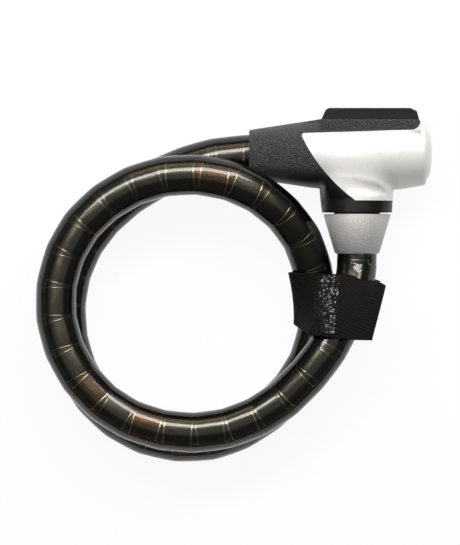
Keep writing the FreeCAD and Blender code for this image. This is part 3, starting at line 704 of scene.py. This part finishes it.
def headSkin(nodeNames):
    pieces = [weldedCopy(nodeName, skin["smooth"]) for nodeName in nodeNames]
    shapes = []
    for piece in pieces:
        shape = bmesh.new()
        shape.from_mesh(piece.data)
        for axis, (low, high) in enumerate((skin["gridX"], skin["gridY"])):
            for k in range(int((high - low) / skin["cell"]) + 1):
                place, normal = [0, 0, 0], [0, 0, 0]
                place[axis], normal[axis] = low + k * skin["cell"], 1
                bmesh.ops.bisect_plane(shape, geom=shape.verts[:] + shape.edges[:] + shape.faces[:], dist=1e-6,
                                       plane_co=place, plane_no=normal)
        shapes.append(shape)
    trees = [BVHTree.FromBMesh(shape) for shape in shapes]
    sideZ = head["z"] + skin["fadeSide"]
    for piece, shape in zip(pieces, shapes):
        moves = []
        for vertex in shape.verts:
            x, y, z = vertex.co
            if z < sideZ or x > skin["endX"] or y > skin["topY"] or y < skin["foot"]:
                continue
            if any(tree.ray_cast(vertex.co + up * skin["rayGap"], up)[0] is not None for tree in trees):
                continue  # something lies over it
            edge = shareOf(skin["endX"] - x, skin["fadeEnd"]) * shareOf(skin["topY"] - y, skin["fadeTop"])
            edge *= shareOf(y - skin["foot"], skin["fadeFoot"])
            rise = frontHeight(x, y) - z
            if rise > -skin["deepest"]:
                moves.append((vertex, rise * shareOf(z - sideZ, skin["fadeSide"]) * edge))
        for vertex, rise in moves:
            vertex.co.z += rise
        shape.to_mesh(piece.data)
        shape.free()
        smoothShading(piece.data, skin["smooth"])
        print("stage:", piece.name, len(piece.data.polygons), "faces")


headSkin(("housing", "silver_cover"))
for nodeName, angle in (
    ("dust_cover", 14), ("bracket_block", 12), ("ferrule", 32), ("neck_ring", 32), ("plug_shank", 32),
    ("plug_washer", 32),
):
    weldedCopy(nodeName, angle)


def makeCable():
    shape = linkObject("casingShape", casingShape())
    tree = casingTree(finishes["casing_steel"])
    seamPlace = lengthsAlong(centreLine[:seam + 1])[-1]
    seamJoint = min(range(casingCount), key=lambda k: abs(jointPlaces[k] - seamPlace))
    ropeSeam, seamPoint = jointPlaces[seamJoint], centreLine[seam]
    # The cable in two stretches, parted at the seam: the lower one from the boot, the upper one on to the plug. The
    # strap ties the lower one to the upper one.
    stretches = {
        "cableLower": {
            "frames": cableFrames[:seam + 1], "path": centreLine[:seam + 1], "exit": cable["bootEnd"],
            "casings": (0, seamJoint), "rope": (cable["ropeMargin"], ropeSeam), "tintSeed": 55,
            "bendFrom": (-0.028, 0.021, 0.02), "bendTo": (0.024, -0.018, 0.02),
        },
        "cableUpper": {
            "frames": cableFrames[seam:], "path": centreLine[seam:][::-1], "exit": cable["plugEnd"],
            "casings": (seamJoint, casingCount), "rope": (ropeSeam, lineLengths[-1] - cable["ropeMargin"]),
            "tintSeed": 41, "bendFrom": tuple(seamPoint), "bendTo": (0.052, seamPoint.y, seamPoint.z),
        },
    }
    for name, one in stretches.items():
        tube = linkObject(name + "Tube", tubeMesh(name + "Tube", one["frames"]))
        casings = casingsBetween(name + "Casings", *one["casings"], tree, shape, one["tintSeed"])
        rope = linkObject(name + "Rope", ropeMesh(name + "Rope", *one["rope"]))
        for piece, nodeName in ((tube, "clear_tube"), (casings, "armour_casings"), (rope, "wire_rope")):
            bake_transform(piece)
            standFor(nodeName)
    bpy.data.objects.remove(shape)


makeCable()
print("stage: cable")


# The hook-and-loop strap: one ribbon laid spirally round both stretches, its free end over its start.
strap = {
    "halfWidth": 0.0148, "thickness": 0.0015, "rows": 26, "lift": 0.0008,  # lift: gap to the jacket
    "layer": 0.0018,  # from the middle of one layer to the next's
    "startAngle": 20, "crestAngle": 10, "crestFlat": 0.6, "droop": 0.0024, "startMiddle": (-0.0145, -0.0080),
    "middleY": -0.012, "smoothing": 0.007, "tableStep": 0.0005,
    "rightOf": 0.03, "partingZ": 0.019,  # both stretches pass right of this, one under and one over this height
    "frontStart": 12, "frontOver": 9, "frontSearch": 8,  # points, counted round the left turn's end
    "bendFrom": (0.0, -0.011, 0.020), "bendTo": (0.034, -0.011, 0.020),
    "tip": [(-0.0279, 0.0716), (-0.0007, 0.0789), (0.0030, 0.0712)],
    "topEdge": [(0.0290, 0.0030), (0.0300, 0.0050), (0.0320, 0.0059), (0.0421, 0.0055), (0.0518, 0.0043),
                (0.0582, 0.0031), (0.0640, 0.0015), (0.0700, 0.0018), (0.0800, 0.0012)],
    "bottomEdge": [(0.0290, -0.0170), (0.0307, -0.0190), (0.0340, -0.0216), (0.0460, -0.0256), (0.0546, -0.0266),
                   (0.0626, -0.0278), (0.0685, -0.0287), (0.0800, -0.0290)],
}
strapSteps = {"start": 14, "under": 6, "left": 18, "slope": 14, "crest": 10, "free": 10}
leftEnd = strapSteps["start"] + strapSteps["under"] + strapSteps["left"] + 1  # points before each place of a section
slopeEnd = leftEnd + strapSteps["slope"] - 1
sectionSize = slopeEnd + strapSteps["crest"] + 1 + strapSteps["free"]
hookPatch = {
    "left": [(-0.0240, 0.0455), (-0.0200, 0.0455), (-0.0125, 0.0430), (-0.0045, 0.0430), (0.0040, 0.0436)],
    "right": [(-0.0240, 0.0516), (-0.0200, 0.0522), (-0.0125, 0.0538), (-0.0045, 0.0546), (0.0040, 0.0560)],
    "columns": 12, "pitch": 0.00118, "stem": 0.00034, "height": 0.00055, "base": 0.0002, "gap": 0.00005, "sides": 8,
    # shadedEdge: margin, width and least share of the painted shade that fades the glints along the strip's left edge
    "inset": 0.3, "stagger": 0.4, "strayAlong": 0.22, "strayAcross": 0.2, "shadedEdge": (0.0008, 0.0016, 0.25),
    "faintPower": 1.7, "sizes": (0.85, 1.15), "seed": 5,
}


def stretchAt(y, upper):  # centre and run of the cable where it passes the plane at y inside the strap
    for i, (a, b) in enumerate(zip(linePoints, linePoints[1:])):
        isUpper = a.z + b.z > 2 * strap["partingZ"]
        crosses = (a.y - y) * (b.y - y) <= 0 and a.y != b.y
        if min(a.x, b.x) > strap["rightOf"] and isUpper == upper and crosses:
            part = (y - a.y) / (b.y - a.y)
            place = lineLengths[i] + part * (b - a).length
            run = pointAt(place + strap["smoothing"]) - pointAt(place - strap["smoothing"])
            return a.lerp(b, part), run.normalized()


stretchTable = {}


def stretchNear(y, upper):  # the same from a table at even steps
    step = strap["tableStep"]
    low = math.floor(y / step)
    for k in (low, low + 1):
        if (k, upper) not in stretchTable:
            stretchTable[k, upper] = stretchAt(k * step, upper)
    (place, run), (nextPlace, nextRun) = stretchTable[low, upper], stretchTable[low + 1, upper]
    part = y / step - low
    return place.lerp(nextPlace, part), run.lerp(nextRun, part).normalized()


def roundStretch(stretch, start, end, steps, radius):  # points round one stretch, angles from up towards +X
    centre, run = stretch
    points = []
    for k in range(steps + 1):
        a = start + (end - start) * (k / steps)
        way = Vector((math.sin(a), 0, math.cos(a)))
        points.append(centre + way * (radius / math.sqrt(1 - way.dot(run) ** 2)))
    return points


def between(a, b, steps):  # the points that part the way from a to b
    return [a.lerp(b, (k + 1) / steps) for k in range(steps - 1)]


def strapSection(y):  # the ribbon's middle line in the plane at y, from its covered start to its free end
    low, high = stretchNear(y, False), stretchNear(y, True)
    across = (high[0] - low[0]).normalized()
    lean = math.atan2(-across.z, across.x)
    first = cable["radius"] + strap["lift"] + strap["thickness"] / 2
    second = first + strap["layer"]
    crest = math.radians(strap["crestAngle"])
    steps = strapSteps
    start = roundStretch(high, math.radians(strap["startAngle"]), math.pi + lean, steps["start"], first)
    left = roundStretch(low, math.pi + lean, 2 * math.pi + lean, steps["left"], first)
    top = roundStretch(high, lean, crest, steps["crest"], second)
    line = start + between(start[-1], left[0], steps["under"]) + left
    line += between(left[-1], top[0], steps["slope"]) + top
    reach = alongLine(strap["tip"], y) - top[-1].x
    slope = -math.tan(crest) * strap["crestFlat"]
    for k in range(1, steps["free"] + 1):
        t = k / steps["free"]
        drop = slope * reach * t - strap["droop"] * t * t
        line.append(Vector((top[-1].x + reach * t, y, top[-1].z + drop)))
    return line


def strapGrid():
    # Rows of points across the ribbon. Its covered part runs straight, and its front follows the edges' own lines.
    middleSection = strapSection(strap["middleY"])
    frontStart = leftEnd - strap["frontStart"]
    startY, frontY = strap["startMiddle"]
    rows = []
    for r in range(strap["rows"] + 1):
        v = r / strap["rows"]
        row = []
        for i in range(sectionSize):
            x = middleSection[i].x
            y = startY + (frontY - startY) * min(i / frontStart, 1.0) + (2 * v - 1) * strap["halfWidth"]
            edge = alongLine(strap["bottomEdge"], x) * (1 - v) + alongLine(strap["topEdge"], x) * v
            row.append(strapSection(y + (edge - y) * shareOf(i - frontStart, strap["frontOver"]))[i])
        rows.append(row)
    return rows


def gridNormals(rows):  # outwards, for rows that follow one another up the ribbon
    high, wide = len(rows), len(rows[0])
    normals = []
    for r in range(high):
        line = []
        for i in range(wide):
            along = rows[r][min(i + 1, wide - 1)] - rows[r][max(i - 1, 0)]
            across = rows[min(r + 1, high - 1)][i] - rows[max(r - 1, 0)][i]
            line.append(along.cross(across).normalized())
        normals.append(line)
    return normals


def ribbonMesh(name, rows, normals, thickness, material):  # a solid ribbon, its flat shape in metres as UV
    points, faces = [], []
    high, wide = len(rows), len(rows[0])
    for shift in (thickness / 2, -thickness / 2):
        for row, rowNormals in zip(rows, normals):
            points += [point + normal * shift for point, normal in zip(row, rowNormals)]
    size = high * wide
    for r in range(high - 1):
        for i in range(wide - 1):
            a, b, c, d = r * wide + i, r * wide + i + 1, (r + 1) * wide + i + 1, (r + 1) * wide + i
            faces += [(a, b, c, d), (size + d, size + c, size + b, size + a)]
    rim = [r * wide for r in range(high)] + [(high - 1) * wide + i for i in range(1, wide)]
    rim += [r * wide + wide - 1 for r in range(high - 2, -1, -1)] + [i for i in range(wide - 2, 0, -1)]
    for a, b in zip(rim, rim[1:] + rim[:1]):
        faces.append((a, b, size + b, size + a))
    mesh = meshFrom(name, points, faces)
    lengths, widths = lengthsAlong(rows[high // 2]), lengthsAlong([row[wide // 2] for row in rows])
    uv = mesh.uv_layers.new(name="UVMap")
    for loop in mesh.loops:
        place = loop.vertex_index % size
        uv.data[loop.index].uv = (lengths[place % wide], widths[place // wide])
    smoothShading(mesh, 50)
    mesh.materials.append(material)
    return mesh, lengths[-1], widths[-1]


def frontAt(row, normals, x):  # the point and normal of one row of the ribbon's front at x
    for i in range(leftEnd - strap["frontSearch"], len(row) - 1):
        if row[i].x <= x <= row[i + 1].x:
            t = (x - row[i].x) / (row[i + 1].x - row[i].x)
            return row[i].lerp(row[i + 1], t), normals[i].lerp(normals[i + 1], t).normalized()
    return row[-1].copy(), normals[-1].copy()


def hookTree(material):
    tree, given = patternTree("hooksOnPatch", {"Hook": "Object", "Size seed": "Int"})
    shape = addNode(tree, "ObjectInfo", {"Object": given["Hook"]})
    upright = addNode(tree, "InputNamedAttribute", {"Name": "hookRun"}, data_type="FLOAT_VECTOR")
    turned = addNode(tree, "FunctionNodeAlignRotationToVector", {"Vector": upright["Attribute"]}, axis="Z")
    least, most = hookPatch["sizes"]
    chance = addNode(tree, "FunctionNodeRandomValue", {
        "Min": least, "Max": most, "Seed": given["Size seed"],
    }, data_type="FLOAT")
    copies = addNode(tree, "InstanceOnPoints", {
        "Points": given["Geometry"], "Instance": shape["Geometry"], "Rotation": turned["Rotation"],
        "Scale": chance["Value"],
    })
    # each hook's painted glint, carried on to its copy
    glintLevel = addNode(tree, "InputNamedAttribute", {"Name": "hookShine"}, data_type="FLOAT")
    endPattern(tree, copies, "hookShine", glintLevel["Attribute"], material)
    return tree


def hookShape():  # one hook, drawn as a short thick stem under a domed tip so that it shows
    sides, r, h = hookPatch["sides"], hookPatch["stem"], hookPatch["height"]
    profile = [(r * 0.75, 0), (r * 0.7, h * 0.45), (r * 1.35, h * 0.6), (r * 1.2, h * 0.85), (r * 0.5, h)]
    points = [(x * c, x * s, z) for x, z in profile for c, s in circle(sides)]
    faces = ringFaces(len(profile), sides)
    faces.append(tuple((len(profile) - 1) * sides + k for k in range(sides)))
    mesh = meshFrom("hookShape", points, faces)
    smoothShading(mesh, 60)
    return mesh


def patchGrid(rows, normals):  # the hook strip across the slope, just over the ribbon's front
    above = strap["thickness"] / 2 + hookPatch["base"] / 2 + hookPatch["gap"]
    part, partNormals = [], []
    for row, rowNormals in zip(rows[1:-1], normals[1:-1]):
        y = row[slopeEnd].y
        left, right = alongLine(hookPatch["left"], y), alongLine(hookPatch["right"], y)
        found = [frontAt(row, rowNormals, left + (right - left) * k / hookPatch["columns"])
                 for k in range(hookPatch["columns"] + 1)]
        part.append([point + normal * above for point, normal in found])
        partNormals.append([normal for point, normal in found])
    return part, partNormals


def hookPlaces(part, partNormals):  # points for the hooks in staggered rows, each with a painted glint; the glints fade along the left edge, painted shade where the strip's slope turns from the light
    lengths, widths = lengthsAlong(part[len(part) // 2]), lengthsAlong([row[0] for row in part])
    countAlong, countAcross = int(lengths[-1] / hookPatch["pitch"]), int(widths[-1] / hookPatch["pitch"])
    chance = random.Random(hookPatch["seed"])
    margin, over, least = hookPatch["shadedEdge"]
    along, across = hookPatch["strayAlong"], hookPatch["strayAcross"]
    places, runs, glintLevels = [], [], []
    for a in range(countAcross):
        for b in range(countAlong):
            shift = b + hookPatch["inset"] + hookPatch["stagger"] * (a % 2)
            u = (shift + chance.uniform(-along, along)) / countAlong * (len(part[0]) - 1)
            v = (a + 0.5 + chance.uniform(-across, across)) / countAcross * (len(part) - 1)
            i, r = min(max(int(u), 0), len(part[0]) - 2), min(max(int(v), 0), len(part) - 2)
            lower = part[r][i].lerp(part[r][i + 1], u - i)
            upper = part[r + 1][i].lerp(part[r + 1][i + 1], u - i)
            normal = partNormals[r][i]
            place = lower.lerp(upper, v - r)
            # painted shade: the glints fade towards the strip's left edge
            litShare = max(shareOf(place.x - alongLine(hookPatch["left"], place.y) - margin, over), least)
            places.append(place + normal * (hookPatch["base"] / 2))
            runs.extend(normal)
            glintLevels.append(chance.random() ** hookPatch["faintPower"] * litShare)
    carrier = linkObject("hookPlaces", meshFrom("hookPlaces", places, []))
    carrier.data.attributes.new("hookRun", "FLOAT_VECTOR", "POINT").data.foreach_set("vector", runs)
    carrier.data.attributes.new("hookShine", "FLOAT", "POINT").data.foreach_set("value", glintLevels)
    return carrier


def makeStrap():
    rows = strapGrid()
    normals = gridNormals(rows)
    grid = patchGrid(rows, normals)
    mesh, length, width = ribbonMesh("strapRibbon", rows, normals, strap["thickness"], finishes["strap_fabric"])
    ribbon = linkObject("strapRibbon", mesh)
    carrier = hookPlaces(*grid)
    count = len(carrier.data.vertices)
    shape = linkObject("hookShape", hookShape())
    hooks = runPattern("strapHooks", carrier, hookTree(finishes["strap_hook"]), {
        "Hook": shape, "Size seed": hookPatch["seed"],
    })
    base = ribbonMesh("hookBase", *grid, hookPatch["base"], finishes["hook_tape"])[0]
    patch = linkObject("strapHookBase", base)
    bpy.data.objects.remove(shape)
    for piece, nodeName in ((ribbon, "strap_band"), (patch, "strap_hooks"), (hooks, "strap_hooks")):
        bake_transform(piece)
        standFor(nodeName)
    print("stage: strap, flat", round(width, 4), "by", round(length, 4), "m,", count, "hooks")


makeStrap()


# Light and floor. The room lights the piece dimly from everywhere, and the camera sees it and the paper as white.
lights = {
    "strip": {"at": (0.02, 0.70, 0.97), "size": (1.55, 0.34), "long": (1, 0.4, 0), "power": 17, "colour": "#ffffff"},
    "overhead": {"at": (0, 0.9, 2.55), "size": (5.2, 4.4), "long": (1, 0, 0), "power": 27, "colour": "#ffffff"},
    "warmCard": {"at": (0.05, 1.2, 0.62), "size": (1.8, 0.4), "long": (1, 0, 0), "power": 4.5, "colour": "#ffe8b8"},
}
studio = {
    "target": (0, 0, 0.02), "room": "#9a9a9a", "roomStrength": 0.35, "paper": "#f4f4f4", "paperGlow": 0.93,
    "floorHalf": 3.0, "floorZ": -0.0003,
}


def makeLights():
    for name, one in lights.items():
        data = bpy.data.lights.new(name, "AREA")
        data.shape = "RECTANGLE"
        data.size, data.size_y = one["size"]
        data.energy = one["power"]
        data.color = hexColor(one["colour"])[:3]
        lamp = linkObject(name, data)
        back = (Vector(one["at"]) - Vector(studio["target"])).normalized()
        side = Vector(one["long"]) - back * back.dot(Vector(one["long"]))
        side.normalize()
        turned = Matrix((side, back.cross(side), back)).transposed().to_4x4()
        lamp.matrix_world = Matrix.Translation(one["at"]) @ turned
    world = bpy.data.worlds.new("studio")
    bpy.context.scene.world = world
    world.use_nodes = True
    tree = world.node_tree
    tree.nodes.clear()
    path = addNode(tree, "LightPath")
    room = addNode(tree, "Background", {"Color": studio["room"], "Strength": studio["roomStrength"]})
    white = addNode(tree, "Background", {"Color": (1, 1, 1, 1), "Strength": 1.0})
    mix = addNode(tree, "MixShader", {0: path["Is Camera Ray"], 1: room[0], 2: white[0]})
    addNode(tree, "OutputWorld", {"Surface": mix[0]})


def makeFloor():
    half = studio["floorHalf"]
    mesh = meshFrom("floor", [(-half, -half, 0), (half, -half, 0), (half, half, 0), (-half, half, 0)], [(0, 1, 2, 3)])
    floor = linkObject("floor", mesh)
    floor.location = (0, 0, studio["floorZ"])
    material, tree = newMaterial("white studio paper")[:2]
    path = addNode(tree, "LightPath")
    paper = addNode(tree, "BsdfDiffuse", {"Color": studio["paper"]})
    glow = addNode(tree, "Emission", {"Color": (1, 1, 1, 1), "Strength": 1.0})
    seen = path["Is Camera Ray"]
    for ray in ("Is Glossy Ray", "Is Transmission Ray"):  # white in reflections and through the jacket too
        seen = addNode(tree, "Math", {0: seen, 1: path[ray]}, operation="MAXIMUM")[0]
    share = addNode(tree, "Math", {0: seen, 1: studio["paperGlow"]}, operation="MULTIPLY")
    mix = addNode(tree, "MixShader", {0: share[0], 1: paper[0], 2: glow[0]})
    mesh.materials.append(finishMaterial(material, mix))


makeLights()
makeFloor()
bpy.context.scene.view_settings.view_transform = "Standard"
print("stage: light and floor")
